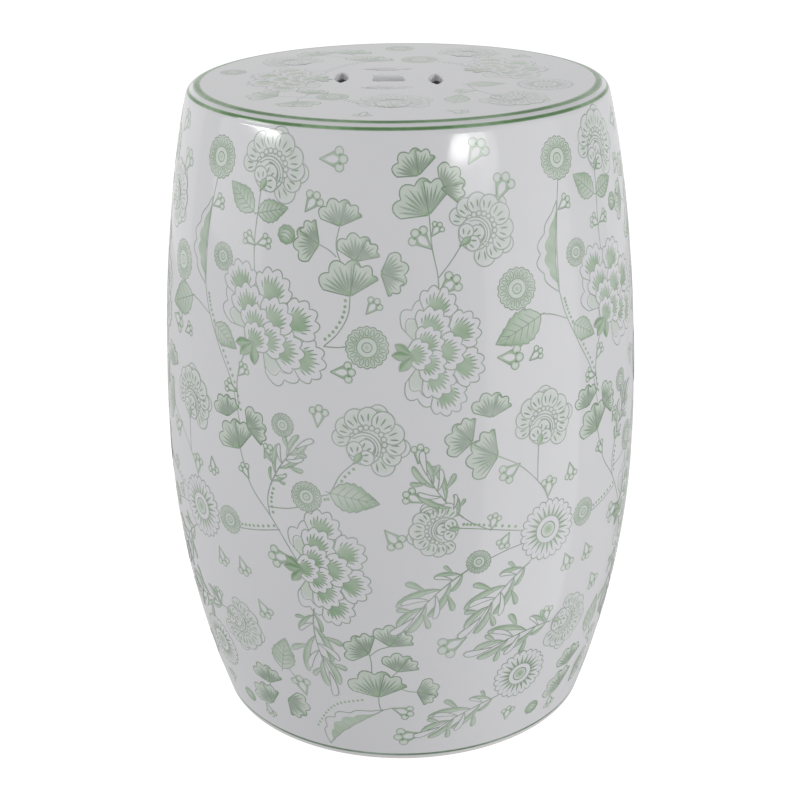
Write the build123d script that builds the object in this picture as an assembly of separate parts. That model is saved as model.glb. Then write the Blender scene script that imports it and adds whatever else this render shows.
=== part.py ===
from build123d import *

import os

# A drum garden stool in glazed ceramic: a hollow barrel, a pierced seat with a turned-down rim and a foot ring,
# luted together with coils of clay, on four stick-on pads. Millimetres, +Z up, origin on the floor on the axis.

# Overall form: the side is three arcs, tangent to each other, from the foot over the belly to the rim
STOOL_HEIGHT = 457.0
BELLY_RADIUS = 169.0
BELLY_HEIGHT = 207.5
FOOT_INSET = 33.0
SHOULDER_DROP = 69.0
SHOULDER_INSET = 13.0
RIM_INSET = 13.7

# Clay thicknesses
WALL = 7.0
SEAT_THICKNESS = 5.0
FOOT_THICKNESS = 5.0

# Seat rim: how far it turns down to the seam, and its outer and inner rounding
RIM_DEPTH = 18.0
RIM_ROUND = 10.0
RIM_INNER_ROUND = 4.0

# Foot ring: its width from the outer edge to the open mouth, and its edge rounding
FOOT_WIDTH = 32.0
FOOT_ROUND = 1.5

# Coils of clay pressed over the two seams from the inside
SEAT_COIL_RADIUS = 6.0
FOOT_COIL_RADIUS = 7.0

# Coin pierced through the seat, cut by hand a little off the axis
COIN_OFFSET_X = -6.0
COIN_OFFSET_Y = -1.3
COIN_RADIUS = 37.0
LENS_LENGTH = 36.0
LENS_WIDTH = 10.0
SIDE_LENS_SHIFT = 4.5
LENS_TIP_ROUND = 1.0
SQUARE_SIDE = 21.0
SQUARE_CORNER_ROUND = 1.5
CUT_EDGE_ROUND = 0.8

# Pads stuck under the foot ring
PAD_COUNT = 4
PAD_HEIGHT = 2.0
PAD_RADIUS = 8.0
PAD_EDGE_BEVEL = 0.6
PAD_FIRST_ANGLE = 45.0

# Levels and radii that follow from the sizes above
foot_underside = PAD_HEIGHT
foot_top = foot_underside + FOOT_THICKNESS
seat_underside = STOOL_HEIGHT - SEAT_THICKNESS
seat_seam = STOOL_HEIGHT - RIM_DEPTH
foot_radius = BELLY_RADIUS - FOOT_INSET
mouth_radius = foot_radius - FOOT_WIDTH
shoulder_radius = BELLY_RADIUS - SHOULDER_INSET
shoulder_height = STOOL_HEIGHT - SHOULDER_DROP
rim_radius = shoulder_radius - RIM_INSET


def height_band(low, high):
    """The part of the section plane between two heights, from the axis out past the belly."""
    middle = Location((BELLY_RADIUS, (low + high) / 2))
    return middle * Rectangle(2 * BELLY_RADIUS, high - low)


def turned(section):
    """A solid of revolution about the stool's axis from a section drawn as radius across, height up."""
    return revolve(Plane.XZ * section, Axis.Z)


# Section of the whole stool, and of its hollow, which keeps the wall's thickness all the way up
belly_point = (BELLY_RADIUS, BELLY_HEIGHT)
lower_arc = TangentArc(belly_point, (foot_radius, foot_underside), tangent=(0, -1))
upper_arc = TangentArc(belly_point, (shoulder_radius, shoulder_height), tangent=(0, 1))
shoulder_arc = TangentArc(upper_arc @ 1, (rim_radius, STOOL_HEIGHT), tangent=upper_arc % 1)
outer_side = Wire([lower_arc, upper_arc, shoulder_arc])
inner_side = outer_side.offset_2d(WALL, kind=Kind.INTERSECTION, side=Side.RIGHT, closed=False)


def filled_to_axis(side):
    """The face between a side curve and the axis, closed by level lines at the curve's two ends."""
    ends = [side @ 0, side @ 1]
    top = max(ends, key=lambda point: point.Y)
    bottom = min(ends, key=lambda point: point.Y)
    closing = Polyline(top, (0, top.Y), (0, bottom.Y), bottom)
    return make_face(side.edges() + closing.edges())


stool_section = filled_to_axis(outer_side)
hollow_section = filled_to_axis(inner_side)

# Barrel wall, between the foot ring and the seam of the seat
barrel_section = (stool_section - hollow_section) & height_band(foot_top, seat_seam)
barrel_wall = turned(barrel_section)
barrel_corners = barrel_section.vertices()
seat_seam_inside = barrel_corners.group_by(Axis.Y)[-1].sort_by(Axis.X)[0]
foot_seam_inside = barrel_corners.group_by(Axis.Y)[0].sort_by(Axis.X)[0]

# Seat slab: a flat disc whose rim turns down to the seam and carries on the barrel's curve
seat_section = stool_section & height_band(seat_seam, STOOL_HEIGHT)
seat_section -= hollow_section & height_band(seat_seam, seat_underside)
rim_corner = seat_section.vertices().group_by(Axis.Y)[-1].sort_by(Axis.X)[-1]
seat_section = fillet(rim_corner, RIM_ROUND)
inner_corners = seat_section.vertices().filter_by(lambda corner: abs(corner.Y - seat_underside) < 0.01)
seat_section = fillet(inner_corners.sort_by(Axis.X)[-1], RIM_INNER_ROUND)
seat_slab = turned(seat_section)


def coin_lens():
    """One opening of the coin, on its +Y side: the coin's own edge outside, a flatter arc bulging inwards."""
    half_length = LENS_LENGTH / 2
    tip_height = (COIN_RADIUS**2 - half_length**2) ** 0.5
    left_tip = (-half_length, tip_height)
    right_tip = (half_length, tip_height)
    outer_arc = ThreePointArc(left_tip, (0, COIN_RADIUS), right_tip)
    inner_arc = ThreePointArc(right_tip, (0, COIN_RADIUS - LENS_WIDTH), left_tip)
    lens = make_face([outer_arc, inner_arc])
    return fillet(lens.vertices(), LENS_TIP_ROUND)


# The coin is cut straight through the slab, and the cut's upper edges are wiped round with a sponge. The left
# opening lies a little further back than the coin's middle, and the right one as much further forward
left_place = Location((0, SIDE_LENS_SHIFT), 90)
right_place = Location((0, -SIDE_LENS_SHIFT), -90)
coin_openings = Sketch() + PolarLocations(0, 2) * coin_lens()
coin_openings += [left_place * coin_lens(), right_place * coin_lens()]
coin_openings += RectangleRounded(SQUARE_SIDE, SQUARE_SIDE, SQUARE_CORNER_ROUND)
coin_place = Location((COIN_OFFSET_X, COIN_OFFSET_Y, STOOL_HEIGHT))
seat_slab -= extrude(coin_place * coin_openings, -2 * SEAT_THICKNESS)
top_edges = seat_slab.edges().group_by(Axis.Z)[-1]
cut_edges = top_edges.filter_by(lambda edge: edge.bounding_box().diagonal < 2 * COIN_RADIUS)
seat_slab = fillet(cut_edges, CUT_EDGE_ROUND)

# Foot ring: a flat ring that carries the barrel's curve to the floor and leaves the mouth open
foot_section = stool_section & height_band(foot_underside, foot_top)
foot_section -= Rectangle(2 * mouth_radius, 2 * STOOL_HEIGHT)
bottom_corners = foot_section.vertices().group_by(Axis.Y)[0]
foot_section = fillet(bottom_corners, FOOT_ROUND)
foot_ring = turned(foot_section)

# Coils of clay that hold the seams: each is a bead pressed flat against the wall's inner face
seat_coil_place = Location((seat_seam_inside.X, seat_seam_inside.Y))
seat_coil_section = (seat_coil_place * Circle(SEAT_COIL_RADIUS)) & hollow_section
seat_luting_coil = turned(seat_coil_section)

foot_coil_place = Location((foot_seam_inside.X, foot_seam_inside.Y))
foot_coil_section = (foot_coil_place * Circle(FOOT_COIL_RADIUS)) & hollow_section
foot_coil_section &= height_band(foot_top, seat_seam)
foot_luting_coil = turned(foot_coil_section)

# One pad, stuck on the middle of the foot ring's width, with its lower edge bevelled
pad = Cylinder(PAD_RADIUS, PAD_HEIGHT, align=(Align.CENTER, Align.CENTER, Align.MIN))
pad = chamfer(pad.edges().group_by(Axis.Z)[0], PAD_EDGE_BEVEL)
pad_circle = PolarLocations(foot_radius - FOOT_WIDTH / 2, PAD_COUNT, PAD_FIRST_ANGLE)

pieces = {
    "barrel_wall": barrel_wall,
    "seat_slab": seat_slab,
    "foot_ring": foot_ring,
    "seat_luting_coil": seat_luting_coil,
    "foot_luting_coil": foot_luting_coil,
}
for number, place in enumerate(pad_circle, start=1):
    pieces[f"floor_pad_{number}"] = place * pad

os.makedirs("parts", exist_ok=True)
for node, solid in pieces.items():
    solid.label = node
    export_step(solid, f"parts/{node}.step")
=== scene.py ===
"""A drum garden stool in white glazed ceramic with a green printed pattern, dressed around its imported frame.

Shapes are worked out in millimetres, in the frame's axes, and put into the meshes in metres.
"""
import math

import bpy
import numpy as np
from mathutils import Matrix, Vector


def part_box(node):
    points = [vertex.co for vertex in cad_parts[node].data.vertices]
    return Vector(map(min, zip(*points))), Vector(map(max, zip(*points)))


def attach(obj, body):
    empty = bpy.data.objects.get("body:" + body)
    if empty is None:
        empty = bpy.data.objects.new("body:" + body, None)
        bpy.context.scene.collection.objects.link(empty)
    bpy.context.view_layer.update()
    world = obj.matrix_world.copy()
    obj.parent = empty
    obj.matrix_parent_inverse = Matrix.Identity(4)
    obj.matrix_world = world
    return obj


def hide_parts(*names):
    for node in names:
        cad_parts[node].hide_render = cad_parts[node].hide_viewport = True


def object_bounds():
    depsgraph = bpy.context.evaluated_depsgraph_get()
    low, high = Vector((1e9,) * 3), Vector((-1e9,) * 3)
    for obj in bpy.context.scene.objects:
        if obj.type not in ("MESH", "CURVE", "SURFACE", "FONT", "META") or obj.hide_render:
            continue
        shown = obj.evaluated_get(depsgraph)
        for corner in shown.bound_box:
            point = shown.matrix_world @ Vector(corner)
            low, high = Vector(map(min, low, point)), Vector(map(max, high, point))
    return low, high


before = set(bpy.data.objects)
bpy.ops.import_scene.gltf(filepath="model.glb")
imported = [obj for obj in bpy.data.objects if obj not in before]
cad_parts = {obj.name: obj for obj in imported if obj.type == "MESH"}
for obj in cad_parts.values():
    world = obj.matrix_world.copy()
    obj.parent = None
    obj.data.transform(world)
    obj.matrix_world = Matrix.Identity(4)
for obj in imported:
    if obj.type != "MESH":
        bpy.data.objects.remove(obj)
cad_low, cad_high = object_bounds()

# Barrel wall
# The hollow stoneware barrel, cast in a plaster mould. Its outside is one smooth glazed sweep of three arcs
# from the foot over the belly to the shoulder; inside it is thinly glazed and keeps an even thickness.
MM = 0.001
STOOL_HEIGHT = cad_high.z / MM
FOOT_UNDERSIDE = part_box("foot_ring")[0].z / MM
FOOT_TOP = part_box("barrel_wall")[0].z / MM
SEAT_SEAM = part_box("seat_slab")[0].z / MM
BELLY_RADIUS = 169.0
BELLY_HEIGHT = 207.5
FOOT_RADIUS = 136.0
SHOULDER_RADIUS = 156.0
SHOULDER_HEIGHT = 388.0
RIM_RADIUS = 142.3
RIM_ROUND = 10.0
WALL = 7.0
SKIN = 0.3
AROUND = 288
OUTSIDE_ROWS = 110
INSIDE_ROWS = 60
FULL_TURN = np.linspace(0.0, 2 * np.pi, AROUND + 1)
MERGE_DISTANCE = 1e-4
GLAZE_WHITE = (0.655, 0.655, 0.672, 1.0)
GLAZE_SHADE = (0.630, 0.632, 0.652, 1.0)
GLAZE_ROUGHNESS = 0.09
GLAZE_IOR = 1.5


def tangent_arc(start, angle, end):
    """Centre and radius of the arc that starts with its outward normal at the given angle and runs to end:
    the radius is the chord squared over twice the chord's inward part."""
    chord = np.subtract(end, start)
    outward = np.array([math.cos(angle), math.sin(angle)])
    radius = -chord @ chord / (2 * chord @ outward)
    return np.asarray(start) - radius * outward, radius


def normal_angle(centre, point):
    """Angle of the outward normal at a point of an arc, from level towards straight up."""
    return math.atan2(point[1] - centre[1], point[0] - centre[0])


def side_arcs():
    """The glazed outline from the foot to the flat seat as rows of centre radius, centre height, arc
    radius, first normal angle and last normal angle. The rim's round touches the shoulder arc and the
    seat's plane."""
    belly = (BELLY_RADIUS, BELLY_HEIGHT)
    foot = (FOOT_RADIUS, FOOT_UNDERSIDE)
    shoulder = (SHOULDER_RADIUS, SHOULDER_HEIGHT)
    lower_centre, lower_radius = tangent_arc(belly, 0.0, foot)
    upper_centre, upper_radius = tangent_arc(belly, 0.0, shoulder)
    lean = normal_angle(upper_centre, shoulder)
    shoulder_centre, shoulder_radius = tangent_arc(shoulder, lean, (RIM_RADIUS, STOOL_HEIGHT))
    rim_rise = STOOL_HEIGHT - RIM_ROUND - shoulder_centre[1]
    rim_reach = math.sqrt((shoulder_radius - RIM_ROUND) ** 2 - rim_rise ** 2)
    rim_centre = shoulder_centre + np.array([rim_reach, rim_rise])
    rim_start = math.atan2(rim_rise, rim_reach)
    return np.array([
        [*lower_centre, lower_radius, normal_angle(lower_centre, foot), 0.0],
        [*upper_centre, upper_radius, 0.0, lean],
        [*shoulder_centre, shoulder_radius, lean, rim_start],
        [*rim_centre, RIM_ROUND, rim_start, math.pi / 2],
    ])


ARCS = side_arcs()
ARC_LENGTHS = ARCS[:, 2] * (ARCS[:, 4] - ARCS[:, 3])
ARC_STARTS = np.concatenate([[0.0], np.cumsum(ARC_LENGTHS)])
SIDE_LENGTH = ARC_STARTS[-1]


def side_outline(along, depth=0.0):
    """Radius, height and outward normal (radial, upward) at a length along the outline from the foot, sunk
    by a depth below the surface: the centre of the arc there plus its radius, less the depth, at the angle.
    Past the rim's round the outline runs level over the seat towards the axis."""
    along = np.asarray(along, float)
    on_side = np.minimum(along, SIDE_LENGTH)
    arc = np.clip(np.searchsorted(ARC_STARTS, on_side, side="right") - 1, 0, len(ARCS) - 1)
    angle = ARCS[arc, 3] + (on_side - ARC_STARTS[arc]) / ARCS[arc, 2]
    reach = ARCS[arc, 2] - depth
    radius = ARCS[arc, 0] + reach * np.cos(angle) - (along - on_side)
    height = ARCS[arc, 1] + reach * np.sin(angle)
    return radius, height, np.cos(angle), np.sin(angle)


SIDE_SAMPLES = np.linspace(0.0, SIDE_LENGTH, 4000)


def length_at(height, depth=0.0):
    """Length along the outline at which the surface, or a surface sunk below it, is at a height."""
    return np.interp(height, side_outline(SIDE_SAMPLES, depth)[1], SIDE_SAMPLES)


def around(radius, angle, height):
    """Points at a radius, an angle and a height: the radius times the cosine and sine of the angle."""
    right, back, height = np.broadcast_arrays(radius * np.cos(angle), radius * np.sin(angle), height)
    return np.stack([right, back, height], -1)


def turned(radius, height, out, up, angles=FULL_TURN):
    """Grid of points and normals of a profile carried round the axis through every angle."""
    points = around(radius[:, None], angles, height[:, None])
    return points, around(out[:, None], angles, up[:, None])


def level_ring(radius_from, radius_to, height, up, rows=2):
    """Grid of a flat ring round the axis that faces up or down."""
    radius = np.linspace(radius_from, radius_to, rows)
    same = np.ones(rows)
    return turned(radius, height * same, 0 * same, up * same)


def surface_mesh(name, grids):
    """One mesh from grids of points and normals, with a place on the palette where a grid has a third
    entry. Each cell of a grid is a face turned to agree with its normals, points that coincide are merged,
    cells that shrink to a line are dropped, and the faces keep the grids' normals for shading."""
    points = np.concatenate([grid[0].reshape(-1, 3) for grid in grids])
    normals = np.concatenate([grid[1].reshape(-1, 3) for grid in grids])
    cells = []
    count = 0
    for grid in grids:
        index = np.arange(grid[0][..., 0].size).reshape(grid[0].shape[:2]) + count
        corners = [index[:-1, :-1], index[1:, :-1], index[1:, 1:], index[:-1, 1:]]
        cells.append(np.stack(corners, -1).reshape(-1, 4))
        count += index.size
    cells = np.concatenate(cells)
    facing = np.cross(points[cells[:, 2]] - points[cells[:, 0]], points[cells[:, 3]] - points[cells[:, 1]])
    inside_out = (facing * normals[cells].sum(1)).sum(1) < 0
    cells[inside_out] = cells[inside_out][:, ::-1]
    snapped = np.round(points / MERGE_DISTANCE).astype(np.int64)
    _, kept, merged = np.unique(snapped, axis=0, return_index=True, return_inverse=True)
    merged = merged.reshape(-1)
    corner = merged[cells]
    distinct = corner != np.roll(corner, 1, axis=1)
    quads = distinct.all(1)
    triangles = distinct.sum(1) == 3
    triangle_cells = cells[triangles][distinct[triangles]].reshape(-1, 3)
    faces = merged[triangle_cells].tolist() + corner[quads].tolist()
    sources = np.concatenate([triangle_cells.reshape(-1), cells[quads].reshape(-1)])
    mesh = bpy.data.meshes.new(name)
    mesh.from_pydata((points[kept] * MM).tolist(), [], faces)
    mesh.shade_smooth()
    if len(grids[0]) > 2:
        palette = np.concatenate([grid[2].reshape(-1, 2) for grid in grids])
        layer = mesh.uv_layers.new(name="OFBake")
        layer.data.foreach_set("uv", palette[sources].astype(np.float32).reshape(-1))
    mesh.normals_split_custom_set(normals[sources].tolist())
    return mesh


def add_piece(name, grids, material):
    """A named piece of the stool from its surface grids, riding the stool's one body."""
    piece = bpy.data.objects.new(name, surface_mesh(name, grids))
    bpy.context.scene.collection.objects.link(piece)
    piece.data.materials.append(material)
    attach(piece, "root")
    return piece


def set_node(node, values):
    """Give a node its values, by an input's name or number or by a setting's name. A value that is the
    output of another node is linked to the input."""
    for key, value in values.items():
        if isinstance(value, bpy.types.NodeSocket):
            node.id_data.links.new(value, node.inputs[key])
        elif isinstance(key, int) or key in node.inputs:
            node.inputs[key].default_value = value
        else:
            setattr(node, key, value)
    return node


def node_adder(tree):
    """A function that adds a shader node of a kind, with its values, to a node tree."""
    def add(kind, values=None):
        return set_node(tree.nodes.new("ShaderNode" + kind), values or {})
    return add


def new_material(name):
    """A node material with its shader, and a function that adds nodes to it."""
    material = bpy.data.materials.new(name)
    material.use_nodes = True
    return material, material.node_tree.nodes["Principled BSDF"], node_adder(material.node_tree)


def blend(add, first, last, share):
    """The colour between two others, by a share from none to all of the last one."""
    return add("Mix", {"data_type": "RGBA", "A": first, "B": last, "Factor": share}).outputs["Result"]


def white_glaze(name):
    """Glossy white glaze: two near whites clouded together, as it pools thicker and thinner over the body."""
    material, shader, add = new_material(name)
    place = add("TexCoord").outputs["Object"]
    cloud = add("TexNoise", {"Vector": place, "Scale": 14.0, "Detail": 4.0, "Roughness": 0.6})
    tone = blend(add, GLAZE_SHADE, GLAZE_WHITE, cloud.outputs["Fac"])
    set_node(shader, {"Base Color": tone, "Roughness": GLAZE_ROUGHNESS, "IOR": GLAZE_IOR})
    return material, shader, add


GLAZE = white_glaze("white_glaze")[0]

# The white glaze lies a skin's depth inside the barrel's true surface, which leaves room for the print on it
outer = np.linspace(length_at(FOOT_TOP, SKIN), length_at(SEAT_SEAM, SKIN), OUTSIDE_ROWS)
inner = np.linspace(length_at(SEAT_SEAM, WALL), length_at(FOOT_TOP, WALL), INSIDE_ROWS)
barrel_outside = side_outline(outer, SKIN)
inside_radius, inside_height, inside_out, inside_up = side_outline(inner, WALL)
barrel_grids = [
    turned(*barrel_outside),
    level_ring(barrel_outside[0][-1], inside_radius[0], SEAT_SEAM, 1.0),
    turned(inside_radius, inside_height, -inside_out, -inside_up),
    level_ring(inside_radius[-1], barrel_outside[0][0], FOOT_TOP, -1.0),
]
barrel = add_piece("glazed_barrel", barrel_grids, GLAZE)
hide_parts("barrel_wall")

# Seat slab
# A flat slab of the same clay, its rim turned down to meet the barrel and luted to it from the inside. A
# coin is cut through it by hand to lift the stool by, and a wet sponge has rounded the edges of the cut
# under the glaze.
SEAT_THICKNESS = 5.0
RIM_INNER_ROUND = 4.0
COIN_MIDDLE = np.array([-6.0, -1.3])
COIN_RADIUS = 37.0
LENS_LENGTH = 36.0
LENS_WIDTH = 10.0
SIDE_LENS_SHIFT = 4.5
SQUARE_SIDE = 21.0
SQUARE_POWER = 16.0
CUT_EDGE_ROUND = 0.8
CUT_REACH = 60.0
# Painted light: a lighter white for the sides of the coin's cut, which lie in shade
CUT_PAINTED_LIGHT = (0.90, 0.90, 0.92, 1.0)
LENS_COLUMNS = 41
WEB_COLUMNS = 22
TIP_DISTANCE = math.sqrt(COIN_RADIUS ** 2 - (LENS_LENGTH / 2) ** 2)
LENS_BULGE = TIP_DISTANCE - COIN_RADIUS + LENS_WIDTH
BULGE_RADIUS = ((LENS_LENGTH / 2) ** 2 + LENS_BULGE ** 2) / (2 * LENS_BULGE)
BULGE_CENTRE = COIN_RADIUS - LENS_WIDTH + BULGE_RADIUS
SEAT_TOP = STOOL_HEIGHT - SKIN
SEAT_UNDERSIDE = STOOL_HEIGHT - SEAT_THICKNESS
# Quarter turns of each opening from the far side of the coin, and how far it was cut beside its place
LENS_PLACES = [
    (-1, (0.0, -SIDE_LENS_SHIFT)),
    (0, (0.0, 0.0)),
    (1, (0.0, SIDE_LENS_SHIFT)),
    (2, (0.0, 0.0)),
]


def lens_arcs(grow, quarter, shift):
    """Outer and inner arc of one opening of the coin, from its right tip to its left tip seen from the
    middle. Each is its circle's centre plus the radius, grown all round, at angles between the two circles'
    crossings."""
    outer_radius = COIN_RADIUS + grow
    inner_radius = BULGE_RADIUS + grow
    tip_rise = (outer_radius ** 2 - inner_radius ** 2 + BULGE_CENTRE ** 2) / (2 * BULGE_CENTRE)
    tip_reach = math.sqrt(outer_radius ** 2 - tip_rise ** 2)
    sweep = np.linspace(1.0, -1.0, LENS_COLUMNS)
    outer_angle = math.asin(tip_reach / outer_radius) * sweep
    inner_angle = math.asin(tip_reach / inner_radius) * sweep
    outer_arc = outer_radius * np.stack([np.sin(outer_angle), np.cos(outer_angle)], -1)
    inner_arc = inner_radius * np.stack([np.sin(inner_angle), -np.cos(inner_angle)], -1)
    inner_arc[:, 1] += BULGE_CENTRE
    turn = quarter * math.pi / 2
    spin = np.array([[math.cos(turn), math.sin(turn)], [-math.sin(turn), math.cos(turn)]])
    place = COIN_MIDDLE + shift
    return outer_arc @ spin + place, inner_arc @ spin + place


def coin_loops(grow):
    """Two closed loops round the coin: along the outer arcs of its openings and along their inner arcs.
    Both run straight over the webs of clay between one opening's tip and the next."""
    arcs = [lens_arcs(grow, *place) for place in LENS_PLACES]
    outer_loop = []
    inner_loop = []
    for (outer_arc, inner_arc), (next_arc, _) in zip(arcs, arcs[1:] + arcs[:1]):
        step = np.linspace(0.0, 1.0, WEB_COLUMNS + 2)[1:-1, None]
        web = outer_arc[-1] + (next_arc[0] - outer_arc[-1]) * step
        outer_loop += [outer_arc, web]
        inner_loop += [inner_arc, web]
    outer_loop.append(arcs[0][0][:1])
    inner_loop.append(arcs[0][1][:1])
    return np.concatenate(outer_loop), np.concatenate(inner_loop)


def bearings(loop):
    """Directions from the coin's middle to the points of a loop, each of length one."""
    away = loop - COIN_MIDDLE
    return away / np.linalg.norm(away, axis=1, keepdims=True)


def square_loop(grow, toward):
    """The coin's square hole at the bearings of a loop round it: half its side over the power mean of the
    bearing's cosine and sine, a square whose corners are a little rounded."""
    bearing = bearings(toward)
    spread = (np.abs(bearing) ** SQUARE_POWER).sum(1, keepdims=True) ** (1 / SQUARE_POWER)
    return COIN_MIDDLE + (SQUARE_SIDE / 2 + grow) * bearing / spread


def axis_circle(radius, toward):
    """The circle round the stool's axis at the bearings of a loop round the coin: where each ray from the
    coin's middle through the loop meets the circle."""
    bearing = bearings(toward)
    along = (bearing * COIN_MIDDLE).sum(1, keepdims=True)
    reach = -along + np.sqrt(along ** 2 - COIN_MIDDLE @ COIN_MIDDLE + radius ** 2)
    return COIN_MIDDLE + reach * bearing


def level_sheet(first_loop, last_loop, height, up, rows):
    """Grid of a flat sheet between two loops, straight from each point of one to its fellow on the other."""
    step = np.linspace(0.0, 1.0, rows)[:, None, None]
    flat = first_loop + (last_loop - first_loop) * step
    points = np.concatenate([flat, np.full(flat.shape[:2] + (1,), height)], -1)
    return points, np.broadcast_to([0.0, 0.0, up], points.shape).copy()


def cut_wall(edge_loop, cut_loop):
    """Grid of the side of a cut, from the seat's top down: a quarter round from the edge of the top to the
    cut, then straight down to the underside. Its normals turn from up to level, into the opening."""
    inward = cut_loop - edge_loop
    facing = inward / np.linalg.norm(inward, axis=1, keepdims=True)
    bend = np.append(np.linspace(0.0, math.pi / 2, 5), math.pi / 2)
    flat = edge_loop + inward * np.sin(bend)[:, None, None]
    height = SEAT_TOP - CUT_EDGE_ROUND * (1 - np.cos(bend))
    height[-1] = SEAT_UNDERSIDE
    columns = np.ones(len(edge_loop))
    points = np.concatenate([flat, np.outer(height, columns)[..., None]], -1)
    level = facing * np.sin(bend)[:, None, None]
    normals = np.concatenate([level, np.outer(np.cos(bend), columns)[..., None]], -1)
    return points, normals


def seat_glaze_with_painted_light():
    """White glaze with painted light: lighter on the sides of the coin's cut, near the axis and under the
    seat's top, where the cut's walls lie in shade."""
    material, shader, add = white_glaze("seat_glaze_with_painted_light")
    body = shader.inputs["Base Color"].links[0].from_socket
    place = add("TexCoord").outputs["Object"]
    height = add("SeparateXYZ", {"Vector": place}).outputs["Z"]
    edge = {"From Min": (SEAT_TOP - CUT_EDGE_ROUND) * MM, "From Max": SEAT_TOP * MM}
    under = add("MapRange", {"Value": height, **edge, "To Min": 1.0, "To Max": 0.0})
    away = add("VectorMath", {"operation": "DISTANCE", 0: place, 1: (0.0, 0.0, SEAT_TOP * MM)})
    near = add("Math", {"operation": "LESS_THAN", 0: away.outputs["Value"], 1: CUT_REACH * MM})
    # Painted light: where the lighter white is laid, near the axis below the seat's top
    painted_light_on_cut = add("Math", {"operation": "MULTIPLY", 0: under.outputs["Result"], 1: near.outputs["Value"]})
    set_node(shader, {"Base Color": blend(add, body, CUT_PAINTED_LIGHT, painted_light_on_cut.outputs["Value"])})
    return material


edge_outer, edge_inner = coin_loops(CUT_EDGE_ROUND)
cut_outer, cut_inner = coin_loops(0.0)
rim_along = np.linspace(length_at(SEAT_SEAM, SKIN), ARC_STARTS[3], 8)
rim_along = np.append(rim_along, np.linspace(ARC_STARTS[3], SIDE_LENGTH, 12)[1:])
rim_outside = side_outline(rim_along, SKIN)
rim_edge = axis_circle(rim_outside[0][-1], edge_outer)
rim_angles = np.unwrap(np.arctan2(rim_edge[:, 1], rim_edge[:, 0]))
flange_heights = np.linspace(SEAT_SEAM, SEAT_UNDERSIDE - RIM_INNER_ROUND, 4)
flange = side_outline(length_at(flange_heights, WALL), WALL)
corner_bend = np.linspace(0.0, math.pi / 2, 6)
flange_radius = np.append(flange[0], flange[0][-1] - RIM_INNER_ROUND * (1 - np.cos(corner_bend[1:])))
flange_height = np.append(flange[1], flange[1][-1] + RIM_INNER_ROUND * np.sin(corner_bend[1:]))
flange_out = np.append(-flange[2], -np.cos(corner_bend[1:]))
flange_up = np.append(-flange[3], -np.sin(corner_bend[1:]))
under_circle = flange_radius[-1] * np.stack([np.cos(rim_angles), np.sin(rim_angles)], -1)
seam_radius = np.array([rim_outside[0][0], flange_radius[0]])
seat_grids = [
    level_sheet(square_loop(CUT_EDGE_ROUND, edge_inner), edge_inner, SEAT_TOP, 1.0, 5),
    level_sheet(edge_outer, rim_edge, SEAT_TOP, 1.0, 12),
    cut_wall(square_loop(CUT_EDGE_ROUND, edge_inner), square_loop(0.0, edge_inner)),
    level_sheet(square_loop(0.0, edge_inner), cut_inner, SEAT_UNDERSIDE, -1.0, 3),
    level_sheet(cut_outer, under_circle, SEAT_UNDERSIDE, -1.0, 5),
    turned(*rim_outside, rim_angles),
    turned(flange_radius, flange_height, flange_out, flange_up, rim_angles),
    turned(seam_radius, np.full(2, SEAT_SEAM), np.zeros(2), -np.ones(2), rim_angles),
]
for place in LENS_PLACES:
    edge_arcs = lens_arcs(CUT_EDGE_ROUND, *place)
    cut_arcs = lens_arcs(0.0, *place)
    edge_round = np.concatenate([edge_arcs[0], edge_arcs[1][-2::-1]])
    cut_round = np.concatenate([cut_arcs[0], cut_arcs[1][-2::-1]])
    seat_grids.append(cut_wall(edge_round, cut_round))
seat = add_piece("glazed_seat", seat_grids, seat_glaze_with_painted_light())
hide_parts("seat_slab")

# Foot ring
# A flat ring of clay that closes the barrel's lower edge and leaves the mouth open. It is glazed outside,
# and its underside is wiped bare so that it doesn't stick to the kiln shelf.
FOOT_WIDTH = 32.0
FOOT_ROUND = 1.5
BARE_CLAY = (0.60, 0.54, 0.45, 1.0)
BARE_ROUGHNESS = 0.75
BARE_BELOW = 3.4
GLAZED_ABOVE = 3.8
WIPED_WAVER = 1.2
MOUTH_RADIUS = FOOT_RADIUS - FOOT_WIDTH


def wiped_glaze():
    """White glaze that gives way to bare fired clay a little above the foot's underside, along a wiped edge
    that wavers with a noise."""
    material, shader, add = new_material("wiped_glaze")
    place = add("TexCoord").outputs["Object"]
    height = add("SeparateXYZ", {"Vector": place}).outputs["Z"]
    noise = add("TexNoise", {"Vector": place, "Scale": 60.0, "Detail": 2.0}).outputs["Fac"]
    waver = add("Math", {"operation": "MULTIPLY_ADD", 0: noise, 1: WIPED_WAVER * MM, 2: height})
    edge = {"From Min": BARE_BELOW * MM, "From Max": GLAZED_ABOVE * MM}
    glazed = add("MapRange", {"Value": waver.outputs["Value"], **edge}).outputs["Result"]
    matt = add("MapRange", {"Value": glazed, "To Min": BARE_ROUGHNESS, "To Max": GLAZE_ROUGHNESS})
    tone = blend(add, BARE_CLAY, GLAZE_WHITE, glazed)
    set_node(shader, {"Base Color": tone, "Roughness": matt.outputs["Result"], "IOR": GLAZE_IOR})
    return material


def round_corner(radius, height, first, last, size):
    """Profile of a quarter round about a centre: radius, height and outward normal between two angles."""
    angle = np.linspace(first, last, 5)
    out = np.cos(angle)
    up = np.sin(angle)
    return radius + size * out, height + size * up, out, up


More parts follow.
